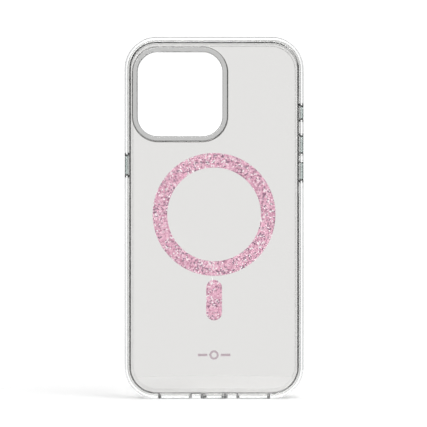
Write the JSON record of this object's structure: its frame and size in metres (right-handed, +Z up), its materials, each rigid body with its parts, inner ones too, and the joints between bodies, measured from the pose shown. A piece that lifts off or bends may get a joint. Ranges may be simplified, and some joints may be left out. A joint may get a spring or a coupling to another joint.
{
  "type": "phone case",
  "caption": "Clear hybrid phone case with a raised camera guard, a glitter magnet ring and bar, scooped side buttons and openings in its bottom edge.",
  "frame": {"origin": "centre of the bounding box's base, under the bottom edge that the case stands on", "axes": "+Z up along the case's height, -Y out of the back with the magnet ring, +Y out of the open screen side, +X towards the side with the volume buttons"},
  "size_m": [0.0816, 0.0142, 0.1653],
  "materials": {
    "clear_plate": "clear polycarbonate, polished, faintly grey",
    "clear_bumper": "clear thermoplastic polyurethane, polished",
    "clear_guard": "clear polycarbonate, polished",
    "clear_button": "clear polycarbonate with a greenish grey cast",
    "glitter_film": "pink film packed with fine metal flakes, laminated glossy",
    "tape": "thin double-sided adhesive",
    "tray": "moulded white plastic",
    "magnet": "nickel plated magnet",
    "cover": "white satin liner film",
    "mark": "flush pinkish grey ink"
  },
  "bodies": {
    "case": {"back_mark": "mark", "back_plate": "clear_plate", "bar_cover": "cover", "bar_front_tape": "tape", "bar_magnet_lower": "magnet", "bar_magnet_upper": "magnet", "bar_rear_tape": "tape", "bar_tray": "tray", "bumper": "clear_bumper", "camera_guard": "clear_guard", "glitter_bar": "glitter_film", "glitter_ring": "glitter_film", "magnet_01": "magnet", "magnet_02": "magnet", "magnet_03": "magnet", "magnet_04": "magnet", "magnet_05": "magnet", "magnet_06": "magnet", "magnet_07": "magnet", "magnet_08": "magnet", "magnet_09": "magnet", "magnet_10": "magnet", "magnet_11": "magnet", "magnet_12": "magnet", "magnet_13": "magnet", "magnet_14": "magnet", "magnet_15": "magnet", "magnet_16": "magnet", "magnet_17": "magnet", "magnet_18": "magnet", "magnet_19": "magnet", "magnet_20": "magnet", "magnet_21": "magnet", "magnet_22": "magnet", "magnet_23": "magnet", "magnet_24": "magnet", "magnet_25": "magnet", "magnet_26": "magnet", "magnet_27": "magnet", "magnet_28": "magnet", "magnet_29": "magnet", "magnet_30": "magnet", "magnet_31": "magnet", "magnet_32": "magnet", "magnet_33": "magnet", "magnet_34": "magnet", "magnet_35": "magnet", "magnet_36": "magnet", "magnet_tray": "tray", "ring_cover": "cover", "ring_front_tape": "tape", "ring_rear_tape": "tape"},
    "power_button": {"power_button": "clear_button"},
    "action_button": {"action_button": "clear_button"},
    "volume_up_button": {"volume_up_button": "clear_button"},
    "volume_down_button": {"volume_down_button": "clear_button"}
  },
  "joints": [
    {"name": "power_press", "type": "slide", "parent": "case", "child": "power_button", "axis": [1, 0, 0], "range_m": [0, 0.0004], "stiffness_N_per_m": 1000},
    {"name": "action_press", "type": "slide", "parent": "case", "child": "action_button", "axis": [-1, 0, 0], "range_m": [0, 0.0004], "stiffness_N_per_m": 1000},
    {"name": "volume_up_press", "type": "slide", "parent": "case", "child": "volume_up_button", "axis": [-1, 0, 0], "range_m": [0, 0.0004], "stiffness_N_per_m": 1000},
    {"name": "volume_down_press", "type": "slide", "parent": "case", "child": "volume_down_button", "axis": [-1, 0, 0], "range_m": [0, 0.0004], "stiffness_N_per_m": 1000}
  ]
}
